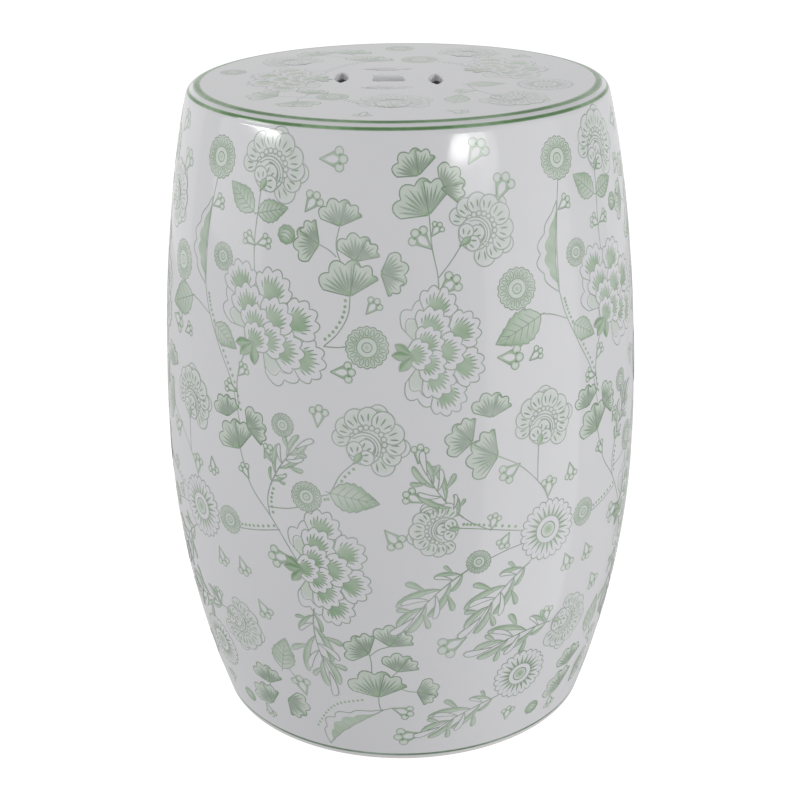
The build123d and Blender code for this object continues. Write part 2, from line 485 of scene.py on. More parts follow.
foot_side = side_outline(np.linspace(FOOT_ROUND, length_at(FOOT_TOP, SKIN), 6), SKIN)
heel_radius = foot_side[0][0] - FOOT_ROUND
heel_height = FOOT_UNDERSIDE + FOOT_ROUND
toe = round_corner(MOUTH_RADIUS + FOOT_ROUND, heel_height, math.pi, 1.5 * math.pi, FOOT_ROUND)
heel = round_corner(heel_radius, heel_height, -math.pi / 2, 0.0, FOOT_ROUND)
foot_outline = [np.concatenate(parts) for parts in zip(toe, heel, foot_side)]
foot_grids = [
    turned(*foot_outline),
    level_ring(foot_side[0][-1], MOUTH_RADIUS, FOOT_TOP, 1.0, 4),
    turned(np.full(2, MOUTH_RADIUS), np.array([FOOT_TOP, heel_height]), -np.ones(2), np.zeros(2)),
]
foot = add_piece("wiped_foot_ring", foot_grids, wiped_glaze())
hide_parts("foot_ring")

# Luting coils
# Ropes of soft clay pressed over the two seams from the inside with a finger, which left shallow dents.
# They are unglazed, and are seen only through the mouth or the coin.
SEAT_COIL_RADIUS = 6.0
FOOT_COIL_RADIUS = 7.0
DENT_DEPTH = 0.6
DENT_COUNT = 46
CLAY_DARK = (0.50, 0.44, 0.36, 1.0)
CLAY_PALE = (0.66, 0.61, 0.53, 1.0)
CLAY_ROUGHNESS = 0.85
# The part of each coil's round section that stands out of the walls, from angle to angle
SEAT_COIL_ARC = (0.56 * math.pi, 1.46 * math.pi)
FOOT_COIL_ARC = (0.42 * math.pi, math.pi)


def raw_clay():
    """Unglazed fired clay: matt and warm, with grains of two tones."""
    material, shader, add = new_material("raw_clay")
    place = add("TexCoord").outputs["Object"]
    grain = add("TexNoise", {"Vector": place, "Scale": 420.0, "Detail": 3.0})
    tone = blend(add, CLAY_DARK, CLAY_PALE, grain.outputs["Fac"])
    set_node(shader, {"Base Color": tone, "Roughness": CLAY_ROUGHNESS})
    return material


def pressed_coil(radius, height, size, arc):
    """Grid of a coil round the axis: a round section of a size about a centre, over an arc of angles. Its
    size dips by the square of a sine round the axis, where a finger pressed it."""
    section = np.linspace(*arc, 13)[:, None]
    dented = size - DENT_DEPTH * np.sin(DENT_COUNT / 2 * FULL_TURN) ** 2
    out = np.cos(section)
    up = np.sin(section)
    points = around(radius + out * dented, FULL_TURN, height + up * dented)
    return points, around(out, FULL_TURN, up)


CLAY = raw_clay()
seat_coil_grid = pressed_coil(inside_radius[0], SEAT_SEAM, SEAT_COIL_RADIUS, SEAT_COIL_ARC)
seat_coil = add_piece("seat_coil", [seat_coil_grid], CLAY)
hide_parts("seat_luting_coil")
foot_coil_grid = pressed_coil(inside_radius[-1], FOOT_TOP, FOOT_COIL_RADIUS, FOOT_COIL_ARC)
foot_coil = add_piece("foot_coil", [foot_coil_grid], CLAY)
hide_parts("foot_luting_coil")

# Floor pads
# Four discs of rubber, moulded with a bevelled lower edge. They are stuck under the foot ring so that it
# doesn't scratch a floor.
PAD_NODES = ["floor_pad_1", "floor_pad_2", "floor_pad_3", "floor_pad_4"]
PAD_BEVEL = 0.6
BEVEL_NORMAL = 0.707
PAD_TURN = np.linspace(0.0, 2 * np.pi, 49)
PAD_COLOUR = (0.045, 0.045, 0.047, 1.0)
PAD_ROUGHNESS = 0.7

rubber, rubber_shader, _ = new_material("pad_rubber")
set_node(rubber_shader, {"Base Color": PAD_COLOUR, "Roughness": PAD_ROUGHNESS})
for node in PAD_NODES:
    pad_low, pad_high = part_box(node)
    pad_middle = np.array([(pad_low.x + pad_high.x) / 2, (pad_low.y + pad_high.y) / 2, 0.0]) / MM
    pad_radius = (pad_high.x - pad_low.x) / 2 / MM
    pad_height = pad_high.z / MM
    profiles = [
        ([0.0, pad_radius - PAD_BEVEL], [0.0, 0.0], 0.0, -1.0),
        ([pad_radius - PAD_BEVEL, pad_radius], [0.0, PAD_BEVEL], BEVEL_NORMAL, -BEVEL_NORMAL),
        ([pad_radius, pad_radius], [PAD_BEVEL, pad_height], 1.0, 0.0),
        ([pad_radius, 0.0], [pad_height, pad_height], 0.0, 1.0),
    ]
    pad_grids = []
    for radius, height, out, up in profiles:
        outline = [np.array(radius), np.array(height), np.full(2, out), np.full(2, up)]
        points, normals = turned(*outline, PAD_TURN)
        pad_grids.append((points + pad_middle, normals))
    pad = add_piece(f"rubber_{node}", pad_grids, rubber)
    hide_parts(node)

# Painted lines
# Green lines drawn with a brush while the stool turns on a wheel: one where the seat runs into its rounded
# rim, one lower on that round, and one round the foot ring's seam. They are fired on and share the glaze's
# gloss.
WASH_COLOURS = [
    (0.0, (0.643, 0.643, 0.669)),
    (0.25, (0.552, 0.602, 0.552)),
    (0.5, (0.380, 0.472, 0.368)),
    (0.72, (0.250, 0.368, 0.232)),
    (0.88, (0.165, 0.292, 0.148)),
    (1.0, (0.098, 0.200, 0.086)),
]
PEN_COLOURS = [
    (0.0, (0.643, 0.643, 0.669)),
    (0.25, (0.562, 0.582, 0.580)),
    (0.5, (0.400, 0.448, 0.402)),
    (0.72, (0.275, 0.340, 0.274)),
    (0.88, (0.200, 0.270, 0.198)),
    (1.0, (0.125, 0.190, 0.122)),
]
WASH_PLACE = 0.25
PEN_PLACE = 0.75
INK_LAYER = 0.014
PIGMENT_SWING = 0.22
SEAT_LINE = (-4.2, 0.9)
RIM_LINE = (-10.0, -7.3)
FOOT_LINE_HEIGHT = 6.4
FOOT_LINE_WIDTH = 2.3
SEAT_LINE_INK = 0.98
FOOT_LINE_INK = 0.96


def green_print():
    """Green pigment under gloss. The palette's first place is how much ink lies there, from none to full.
    Its second place tells the two inks apart: below the middle is the green of washes and of lines drawn
    with a brush, above it the greyer green of pen lines. Both start from the glaze's white."""
    material, shader, add = new_material("green_print")
    palette = add("UVMap", {"uv_map": "OFBake"})
    place = add("SeparateXYZ", {"Vector": palette.outputs["UV"]})
    inks = []
    for colours in (WASH_COLOURS, PEN_COLOURS):
        ramp = add("ValToRGB", {"Fac": place.outputs["X"]})
        stops = ramp.color_ramp.elements
        while len(stops) < len(colours):
            stops.new(0.5)
        for stop, (position, colour) in zip(stops, colours):
            stop.position = position
            stop.color = (*colour, 1.0)
        inks.append(ramp.outputs["Color"])
    by_pen = add("Math", {"operation": "GREATER_THAN", 0: place.outputs["Y"], 1: 0.5})
    ink = blend(add, *inks, by_pen.outputs["Value"])
    set_node(shader, {"Base Color": ink, "Roughness": GLAZE_ROUGHNESS, "IOR": GLAZE_IOR})
    return material


def palette_places(x, y, ink, place):
    """Places on the palette for inked points of a sheet. How strongly the pigment took varies over the
    sheet by three crossing waves, of a hand's breadth, of two centimetres and of seven millimetres. It
    shifts the ink and, a little, the second place."""
    broad = 0.5 * np.sin(0.055 * x + 0.031 * y)
    middling = 0.3 * np.sin(0.34 * y - 0.11 * x)
    fine = 0.2 * np.sin(0.57 * x + 0.71 * y)
    took = broad + middling + fine
    amount = np.clip(ink * (1 + PIGMENT_SWING * took), 0.004, 0.996)
    return np.stack([amount, place + 0.1 * took], -1)


def painted_line(first, last, ink, rows, place=WASH_PLACE):
    """Grid of a line painted round the outline between two lengths along it, thinner in ink at its edges."""
    along = np.linspace(first, last, rows)
    points, normals = turned(*side_outline(along, SKIN - INK_LAYER))
    stroke = ink * np.sin(np.pi * np.linspace(0.12, 0.88, rows)) ** 0.5
    palette = palette_places(FULL_TURN * BELLY_RADIUS, along[:, None], stroke[:, None], place)
    return points, normals, palette


PRINT = green_print()
foot_line_low = length_at(FOOT_LINE_HEIGHT) - FOOT_LINE_WIDTH / 2
foot_line_high = length_at(FOOT_LINE_HEIGHT) + FOOT_LINE_WIDTH / 2
line_grids = [
    painted_line(SIDE_LENGTH + SEAT_LINE[0], SIDE_LENGTH + SEAT_LINE[1], SEAT_LINE_INK, 13),
    painted_line(SIDE_LENGTH + RIM_LINE[0], SIDE_LENGTH + RIM_LINE[1], SEAT_LINE_INK, 9),
    painted_line(foot_line_low, foot_line_high, FOOT_LINE_INK, 7, PEN_PLACE),
]
add_piece("painted_lines", line_grids, PRINT)

# Printed flowers
# A flowering trail in the same green, printed as a transfer and fired on. One sheet covers a quarter of the
# barrel and goes round four times; another covers the seat. Every form is drawn on a sheet in millimetres,
# as washes of ink and pen lines in layers, and then laid on the glaze.
QUARTERS = 4
DEGREE = math.radians(1.0) * BELLY_RADIUS
PEN = 0.8
PEN_INK = 0.68
BARREL_STRENGTH = 0.94
# The seat's print is laid weaker than the barrel's: a painted sheen, paling it as the gloss does over the seat
# seen low
SEAT_STRENGTH_WITH_PAINTED_SHEEN = 0.72
SEAT_LAYER = 0.008
HAIR = 0.06
# Widths of shaped pen strokes along them, in millimetres
HATCH = np.array([0.5, 0.9, 0.5])
TEAR = np.array([0.3, 1.0, 1.2, 0.4])
WEDGE = np.array([2.0, 1.8, 1.3, 0.8, 0.3])
RIB = np.array([0.4, 1.1, 1.5, 1.4, 0.9, 0.3])
DOT_RADIUS = 1.15
DOT_SPACING = 3.9
DOTS_BESIDE = 2.9


class Spot:
    """A place for a motif on a sheet: across and up in millimetres, a turn in degrees clockwise from
    upright, a size, and how much widths are let out so that a motif keeps its shape where the barrel is
    narrower."""

    def __init__(self, sheet, x, y, turn=0.0, size=1.0, let_out=1.0):
        self.sheet = sheet
        self.x = x
        self.y = y
        self.turn = turn
        self.size = size
        self.let_out = let_out

    def put(self, across, up):
        """Places on the sheet of a motif's own points: turned, scaled, and moved to the spot."""
        turn = math.radians(self.turn)
        x = self.size * (across * math.cos(turn) + up * math.sin(turn))
        y = self.size * (up * math.cos(turn) - across * math.sin(turn))
        return self.x + self.let_out * x, self.y + y

    def within(self, across, up, turn=0.0):
        """The spot of a smaller form inside a motif."""
        x, y = self.put(across, up)
        return Spot(self.sheet, x, y, self.turn + turn, self.size, self.let_out)

    def out(self, turn, distance):
        """The spot of a form that points away from a motif's middle, at a distance on a bearing from it."""
        bearing = math.radians(turn)
        return self.within(distance * math.sin(bearing), distance * math.cos(bearing), turn)


def lay_down(spot, kind, patch):
    """Add a patch to one kind of print on the spot's sheet. Patches of one layer lie a hair apart by their
    order, so that those which cross never share a plane."""
    patches = spot.sheet.setdefault(kind, [])
    x, y, ink, layer, place = patch
    patches.append((x, y, ink, layer + HAIR * (len(patches) % 7), place))


def wash(spot, kind, across, up, ink, layer):
    """A patch of ink on the spot's sheet: a grid of the motif's own points with the ink at each."""
    x, y = spot.put(across, up)
    lay_down(spot, kind, (x, y, np.broadcast_to(ink, x.shape), layer, WASH_PLACE))


def pen(spot, kind, across, up, layer, width=PEN, ink=PEN_INK):
    """A pen line on the spot's sheet: a path of the motif's own points, with half the line's width to
    either side along the path's normal."""
    x, y = spot.put(across, up)
    step_x = np.gradient(x)
    step_y = np.gradient(y)
    half = np.broadcast_to(width, x.shape) / 2 / (np.hypot(step_x, step_y) + 1e-9)
    pair_x = np.stack([x + step_y * half, x - step_y * half])
    pair_y = np.stack([y - step_x * half, y + step_x * half])
    lay_down(spot, kind, (pair_x, pair_y, np.broadcast_to(ink, pair_x.shape), layer, PEN_PLACE))


def lobed(notch, phase):
    """Share of the full reach at a lobed edge: all of it at the top of a lobe, where the cosine of the
    phase is one or minus one, and less by the notch between two lobes, where it is nought."""
    return 1 - notch * (1 - np.abs(np.cos(phase)))


def fan_place(shape, out, swing):
    """Places on a fan: a share of the way out to its edge, at a swing from -1 to 1 times its spread from
    upright. The edge is the length, less with the square of the swing, and notched between its lobes by a
    cosine."""
    length, spread, lobes, notch, droop = shape
    edge = length * (1 - droop * swing ** 2) * lobed(notch, lobes * np.pi / 2 * swing)
    return out * edge * np.sin(spread * swing), out * edge * np.cos(spread * swing)


def fan_swings(shape):
    """Swings across a fan: six steps to each lobe, and eighteen at least."""
    return np.linspace(-1.0, 1.0, 6 * max(shape[2], 3) + 1)


def fan_outline(shape, share=1.0, start=0.3):
    """Path round a fan: up one side from a start, round the notched edge and down the other side."""
    side = np.linspace(start, 1.0, 6)[:-1]
    edge = fan_swings(shape)
    out = np.concatenate([side, np.ones_like(edge), side[::-1]])
    swing = np.concatenate([-np.ones_like(side), edge, np.ones_like(side)])
    return fan_place(shape, share * out, swing)


def petal(spot, kind, shape, layer, depth, reach, veil=0.0, hatches=0):
    """One petal: a white fan with an arch of wash in its middle, which ends at its reach and near its sides
    and is deeper towards one of them. It has short hatches over the end of the wash, or a pale veil inside
    a second line."""
    out = np.linspace(0.0, 1.0, 15)[:, None]
    swing = fan_swings(shape)[None, :]
    arch = np.clip((reach - 0.15 * swing ** 2 - out) / 0.14, 0.0, 1.0)
    sides = np.clip((0.76 - np.abs(swing)) / 0.22, 0.0, 1.0)
    ink = np.maximum(depth * (0.88 + 0.22 * swing) * arch * sides, veil * (out < 0.75))
    wash(spot, kind, *fan_place(shape, out, swing), ink, layer)
    pen(spot, kind, *fan_outline(shape), layer + 0.5)
    if veil:
        pen(spot, kind, *fan_outline(shape, 0.80), layer + 0.5, 0.65, 0.6)
    for place in np.linspace(-0.66, 0.66, hatches):
        ray = np.array([-0.15, -0.05, 0.04]) + reach - 0.15 * place ** 2
        pen(spot, kind, *fan_place(shape, ray, place), layer + 0.5, HATCH, 0.78)


def scalloped(radius, bearing, lobes, notch):
    """Path round a circle at the given bearings, notched between its lobes."""
    edge = radius * lobed(notch, lobes / 2 * bearing)
    return edge * np.sin(bearing), edge * np.cos(bearing)


def disc(spot, kind, radius, ink, layer, lobes=0, notch=0.0, columns=None):
    """A round patch of ink: rings from the middle to the edge, with the ink given ring by ring."""
    bearing = np.linspace(0.0, 2 * np.pi, columns or max(17, 4 * lobes + 1))
    across, up = scalloped(radius, bearing, lobes, notch)
    ring = np.linspace(0.0, 1.0, len(ink))
    wash(spot, kind, np.outer(ring, across), np.outer(ring, up), np.outer(ink, np.ones_like(bearing)), layer)


def circle(spot, kind, radius, layer, lobes=0, notch=0.0, width=PEN, ink=PEN_INK):
    """A pen line round a circle, scalloped where it has lobes."""
    bearing = np.linspace(0.0, 2 * np.pi, max(25, 6 * lobes + 1))
    pen(spot, kind, *scalloped(radius, bearing, lobes, notch), layer, width, ink)


def leaf_place(length, width, teeth, along, side):
    """Places on a leaf from stalk to tip: a side from -1 to 1 times its half width, which swells as a sine
    of the way along, soonest near the stalk, and steps in after each tooth."""
    saw = 1 - (along * teeth) % 1.0 if teeth else 0.5
    half = width / 2 * np.sin(np.pi * np.clip(along, 0.0, 1.0) ** 0.75) * (0.92 + 0.16 * saw)
    return side * half, along * length + 0 * side


def leaf(spot, length):
    """A leaf with a toothed edge, three fifths as wide as it is long: washed, darkest along its edges and
    at its tip, with a midrib and side veins."""
    kind = "leaves"
    width = 0.6 * length
    teeth = 7
    along = np.linspace(0.0, 1.0, 4 * teeth + 1)[:, None]
    side = np.linspace(-1.0, 1.0, 9)[None, :]
    ink = 0.62 * (0.5 + 0.7 * side ** 2 * along + 0.25 * along)
    wash(spot, kind, *leaf_place(length, width, teeth, along, side), ink, 2)
    for edge in (-1.0, 1.0):
        pen(spot, kind, *leaf_place(length, width, teeth, along[:, 0], edge), 2.5)
    pen(spot, kind, np.zeros(9), np.linspace(-0.1, 0.93, 9) * length, 3, 0.6)
    run = np.linspace(0.0, 1.0, 4)
    for start in np.linspace(0.14, 0.7, 5):
        for edge in (-0.72, 0.72):
            tip_across, tip_up = leaf_place(length, width, 0, np.array(start + 0.15), np.array(edge))
            rise = start * length + (tip_up - start * length) * run
            pen(spot, kind, tip_across * run, rise, 2.5, 0.5, 0.72)


def pointed(along):
    """Half width of a curl with a point, as a share: a sine of the way along, fullest past the middle."""
    return np.sin(np.pi * along ** 1.4)


def blunt(along):
    """Half width of a curl with a round end, as a share: it grows along the curl and closes at the end."""
    return 1.35 * along ** 0.8 * np.sqrt(1 - along ** 7)


def curl(spot, kind, length, width, bend, ink, layer, swell=pointed):
    """A curled lobe, whose middle bends as the square of the way along. It is washed, deeper on one side,
    or left white where it has no ink, and outlined all round."""
    along = np.sin(np.linspace(0.0, np.pi / 2, 13))[:, None]
    side = np.linspace(-1.0, 1.0, 5)[None, :]
    across = bend * along ** 2 + side * width / 2 * swell(along)
    up = length * along + 0 * side
    wash(spot, kind, across, up, ink * (0.8 + 0.35 * (side > 0)) * np.ones_like(along), layer)
    edge = np.concatenate([across[:, 0], across[::-1, -1]])
    rise = np.concatenate([up[:, 0], up[::-1, -1]])
    pen(spot, kind, edge, rise, layer + 0.5, 0.5 if ink else 0.65, 0.7)


def blossom(spot):
    """A full blossom in half profile, 47 mm from its calyx to its edge: a guard petal with a second line to
    either side, rows of notched petals that fan out, each row in front of the last, and three sepals."""
    kind = "blossoms"
    layer = 1
    for turn in (-92.0, 94.0):
        petal(spot.within(0.0, 9.0, turn), kind, (34.0, 0.62, 3, 0.13, 0.24), layer, 0.80, 0.56, 0.26)
        layer += 1
    rows = [
        (23.0, 24.0, (-58.0, 56.0, -20.0, 19.0)),
        (11.0, 23.0, (-52.0, 51.0, 0.0)),
        (3.0, 20.0, (-35.0, 33.0)),
        (-6.0, 19.0, (-3.0,)),
    ]
    for distance, length, turns in rows:
        for turn in turns:
            petal(spot.out(turn, distance), kind, (length, 0.86, 5, 0.12, 0.28), layer, 0.68, 0.80, 0.0, 9)
            layer += 1
    for turn in (-150.0, 178.0, 128.0):
        curl(spot.within(0.0, 1.0, turn), kind, 13.0, 6.0, 1.5, 0.72, layer)
        layer += 1


def shell(spot, kind, radius, ink, layer, marks=()):
    """A round petal drawn in line, with tear-shaped pen marks from its root at the given turns."""
    disc(spot, kind, radius, ink, layer, columns=23)
    circle(spot, kind, radius, layer + 0.5, ink=0.58)
    root = spot.within(0.0, -1.35 * radius)
    for turn in marks:
        mark = root.within(0.0, 0.0, turn)
        pen(mark, kind, np.zeros(4), np.linspace(0.95, 1.75, 4) * radius, layer + 0.5, TEAR, 0.70)


def carnation(spot):
    """A flower drawn in line, 40 mm tall from its calyx: round petals about a heart, two washed ones behind
    them, a collar of beads, and three rolled petals in the heart."""
    kind = "carnations"
    middle = spot.within(0.0, 15.0)
    layer = 1
    for turn in (-13.0, 66.0):
        shell(middle.out(turn, 20.5), kind, 6.2, [0.5, 0.5, 0.42, 0.0, 0.0], layer)
        layer += 1
    petals = [
        (-112.0, 5.8), (114.0, 7.4), (-86.0, 6.4), (88.0, 6.0), (-58.0, 7.0), (62.0, 6.6), (-30.0, 6.6),
        (36.0, 7.0), (3.0, 7.2),
    ]
    for turn, radius in petals:
        shell(middle.out(turn, 17.2), kind, radius, [0.20, 0.20, 0.12, 0.03], layer, (-24.0, 0.0, 24.0))
        layer += 1
    for turn in np.linspace(-95.0, 120.0, 12):
        shell(middle.out(turn, 10.6), kind, 1.7, [0.0, 0.12, 0.2], layer)
    heart = spot.within(0.0, 10.8)
    shell(heart, kind, 10.8, [0.05, 0.08, 0.10, 0.04], layer + 1)
    for radius, first, last, width in ((8.8, -1.3, 2.3, 0.55), (7.0, -0.5, 2.0, 1.1)):
        roll = np.linspace(first, last, 20)
        pen(heart, kind, radius * np.sin(roll), radius * np.cos(roll), layer + 1.6, width, 0.72)
    layer += 2
    rolled = [(0.6, 1.6, 10.0, 5.2), (-4.9, -3.6, -40.0, 5.0), (4.2, -4.6, 60.0, 5.0)]
    for across, up, turn, radius in rolled:
        shell(heart.within(across, up, turn), kind, radius, [0.16, 0.16, 0.06, 0.0], layer, (-16.0, 16.0))
        layer += 1
    curl(spot.within(0.0, -2.0), kind, 9.5, 4.8, 0.0, 0.6, layer)


def daisy(spot):
    """An open daisy 44 mm across: a scalloped white ring with a dark wedge at the root of every petal, a
    white ring round the eye, and a green eye."""
    kind = "daisies"
    petals = 22
    disc(spot, kind, 22.0, [0.05, 0.05, 0.62, 0.55, 0.28, 0.05, 0.0, 0.0], 2, petals, 0.10)
    circle(spot, kind, 22.0, 4, petals, 0.10)
    for turn in np.arange(petals) * 360.0 / petals:
        ray = spot.within(0.0, 0.0, turn)
        pen(ray, kind, np.zeros(5), np.linspace(9.5, 18.0, 5), 4, WEDGE, 0.72)
        seam = ray.within(0.0, 0.0, 180.0 / petals)
        pen(seam, kind, np.zeros(3), np.linspace(17.5, 20.6, 3), 3, 0.5, 0.6)
    disc(spot, kind, 9.8, [0.62, 0.5, 0.34, 0.0, 0.0, 0.0], 5, columns=33)
    circle(spot, kind, 9.8, 6)
    circle(spot, kind, 5.6, 6, 0, 0.0, 0.9, 0.8)


def rosette(spot):
    """A button of a flower 26 mm across: a washed disc with a ring of small looped petals and two rings
    round its eye."""
    kind = "rosettes"
    petals = 18
    disc(spot, kind, 13.0, [0.25, 0.3, 0.45, 0.45, 0.38, 0.32, 0.24], 2, petals, 0.08)
    circle(spot, kind, 13.0, 3, petals, 0.08)
    loop = np.linspace(0.0, 2 * np.pi, 10)
    for turn in np.arange(petals) * 360.0 / petals:
        ray = spot.within(0.0, 0.0, turn)
        pen(ray, kind, 1.15 * np.sin(loop), 9.4 - 2.3 * np.cos(loop), 3, 0.5, 0.72)
    disc(spot, kind, 6.2, [0.5, 0.28, 0.22, 0.28], 3.6, columns=25)
    circle(spot, kind, 6.2, 4, 0, 0.0, 0.7)
    circle(spot, kind, 3.0, 4, 0, 0.0, 0.8)


def bud(spot):
    """A round bud 12 mm across with a dark shoulder and a few curved pen marks."""
    kind = "rosettes"
    disc(spot, kind, 6.0, [0.25, 0.35, 0.55, 0.7], 2, 9, 0.08, 37)
    circle(spot, kind, 6.0, 3, 9, 0.08)
    curve = np.linspace(-1.1, 1.1, 9)
    for rise in (-3.2, -0.6, 2.0):
        pen(spot, kind, 3.6 * np.sin(curve), rise + 2.6 * np.cos(curve) - 1.2, 3, 0.55, 0.75)


def fan_fold(spot, shape, layer):
    """One fold of a fan-shaped leaf: a pale wash, deeper at its base and along its right side, broad ribs
    that taper to either end, and a lobed outline."""
    kind = "fan_leaves"
    out = np.linspace(0.0, 1.0, 9)[:, None]
    swing = fan_swings(shape)[None, :]
    ink = 0.28 + 0.44 * (1 - out) ** 2 + 0.52 * np.clip((swing - 0.35) / 0.65, 0.0, 1.0) * out
    wash(spot, kind, *fan_place(shape, out, swing), ink, layer)
    pen(spot, kind, *fan_outline(shape, 1.0, 0.05), layer + 0.5, PEN, 0.82)
    run = np.linspace(0.20, 0.84, 6)
    for place in np.linspace(-0.78, 0.78, 3 * shape[2] - 1):
        pen(spot, kind, *fan_place(shape, run, place), layer + 0.5, RIB, 0.66)


def fan_leaf(spot):
    """A leaf like an open fan, 28 mm across: a broad fold behind and a narrow one in front at its right."""
    fan_fold(spot.within(0.0, 0.0, -15.0), (18.5, 0.92, 3, 0.17, 0.12), 3)
    fan_fold(spot.within(0.0, 0.0, 45.0), (17.5, 0.44, 2, 0.14, 0.10), 4)


def sprig(spot):
    """A bud sprig 18 mm long: a split calyx with a white heart, and three round lobes with dark dots
    between."""
    kind = "sprigs"
    shape = (12.5, 0.46, 1, 0.0, 0.0)
    out = np.linspace(0.0, 1.0, 7)[:, None]
    swing = np.linspace(-1.0, 1.0, 9)[None, :]
    wash(spot, kind, *fan_place(shape, out, swing), 0.42 + 0.28 * np.abs(swing) * out, 2)
    for edge in (-1.0, 1.0):
        pen(spot, kind, *fan_place(shape, np.linspace(0.0, 1.0, 6), edge), 3)
    heart = np.linspace(0.0, 1.0, 8)[:, None]
    side = np.linspace(-1.0, 1.0, 5)[None, :]
    across, up = leaf_place(8.5, 4.4, 0, 1 - heart, side)
    wash(spot, kind, across, 11.8 - up, np.zeros_like(up), 2.5)
    for across, up in ((-4.7, 12.2), (4.7, 12.2), (0.0, 14.6)):
        lobe = spot.within(across, up)
        disc(lobe, kind, 2.6, [0.10, 0.22, 0.42], 4, columns=15)
        circle(lobe, kind, 2.6, 4.5, 0, 0.0, 0.65)
    for across in (-2.5, 2.5):
        disc(spot.within(across, 12.6), kind, 1.0, [0.85, 0.7], 5, columns=9)


FROND_LENGTH = 52.0
# Curls of a frond: share of the way along its spine, turn from it, length, width, bend and ink
FROND_CURLS = [
    (0.08, -50.0, 13.0, 3.2, 5.0, 0.60),
    (0.10, 54.0, 16.0, 3.6, -6.0, 0.60),
    (0.22, 66.0, 12.0, 2.8, -3.0, 0.00),
    (0.26, -46.0, 26.0, 5.6, 11.0, 0.55),
    (0.40, 46.0, 28.0, 6.0, -13.0, 0.55),
    (0.50, -64.0, 17.0, 4.2, 6.0, 0.00),
    (0.60, 62.0, 17.0, 4.2, -6.0, 0.00),
    (0.66, -34.0, 23.0, 5.2, 9.0, 0.50),
    (0.72, 34.0, 20.0, 4.8, -8.0, 0.50),
    (0.88, 6.0, 20.0, 5.0, 3.0, 0.00),
]


def frond(spot, bend):
    """A curling frond: a spine that bends as the square of the way along, with curls to either side. The
    long washed ones fork halfway, and some are left white."""
    kind = "fronds"
    run = np.linspace(0.0, 1.0, 13)
    pen(spot, kind, bend * run ** 2, FROND_LENGTH * run, 2, np.linspace(1.2, 0.5, 13))
    layer = 3
    for share, turn, length, width, sweep, ink in FROND_CURLS:
        heading = math.degrees(math.atan2(2 * bend * share, FROND_LENGTH))
        base = spot.within(bend * share ** 2, FROND_LENGTH * share, heading + turn)
        curl(base, kind, length, width, sweep, ink, layer, blunt)
        if ink and length > 14.0:
            fork = base.within(0.12 * sweep, 0.35 * length, math.copysign(36.0, turn))
            curl(fork, kind, 0.5 * length, 0.7 * width, 0.2 * sweep, ink, layer + 0.7, blunt)
        layer += 1.4


def feather(spot):
    """A broad one-sided leaf along a stem, 58 mm long: a scalloped outline on one side of its spine, with a
    washed strip of the same scallops inside it."""
    kind = "fronds"
    along = np.linspace(0.0, 1.0, 41)
    up = 58.0 * along
    half = 19.0 * np.sin(np.pi * along ** 0.8) * (0.80 + 0.20 * np.abs(np.sin(4.5 * np.pi * along)))
    pen(spot, kind, -half, up, 3)
    share = np.linspace(0.16, 0.66, 7)[:, None]
    strip_up = 58.0 * (0.08 + 0.84 * along) * np.ones_like(share)
    wash(spot, kind, -share * half[None, :], strip_up, 0.52, 2)
    pen(spot, kind, -0.16 * half, up, 3, 0.9)


def trail(points):
    """A smooth run through given points: on each stretch, the cubic whose ends take their slope from the
    neighbouring points."""
    points = np.asarray(points, float)
    padded = np.concatenate([[2 * points[0] - points[1]], points, [2 * points[-1] - points[-2]]])
    before, first, last, after = padded[:-3], padded[1:-2], padded[2:-1], padded[3:]
    part = np.linspace(0.0, 1.0, 12, endpoint=False)[:, None, None]
    cubic = 3 * (first - last) + after - before
    square = 2 * before - 5 * first + 4 * last - after
    run = first + 0.5 * part * (last - before + part * (square + part * cubic))
    return np.concatenate([run.transpose(1, 0, 2).reshape(-1, 2), points[-1:]])


def dots(sheet, path):
    """A row of dots along a path, at an even spacing, that leaves a tenth of the path free at either end."""
    length = np.hypot(*np.diff(path, axis=0).T).sum()
    at = np.linspace(0.1, 0.9, round(0.8 * length / DOT_SPACING) + 1) * (len(path) - 1)
    places = [np.interp(at, np.arange(len(path)), path[:, axis]) for axis in (0, 1)]
    for x, y in zip(*places):
        disc(Spot(sheet, x, y), "stems", DOT_RADIUS, [0.66, 0.62], 0.6, columns=9)


def stem(sheet, points, dotted):
    """A stem through points of a sheet in millimetres, with a row of dots on its left where asked."""
    path = trail(points)
    pen(Spot(sheet, 0.0, 0.0), "stems", path[:, 0], path[:, 1], 0.5)
    if dotted:
        slope = np.gradient(path, axis=0)
        slope /= np.linalg.norm(slope, axis=1, keepdims=True)
        dots(sheet, path + DOTS_BESIDE * np.stack([-slope[:, 1], slope[:, 0]], -1))


barrel_sheet = {}


def on_barrel(degrees, along, turn, size):
    """A spot on the barrel's sheet, by degrees round from the front and millimetres along from the foot."""
    let_out = BELLY_RADIUS / float(side_outline(along)[0])
    return Spot(barrel_sheet, degrees * DEGREE, along, turn, size, let_out)


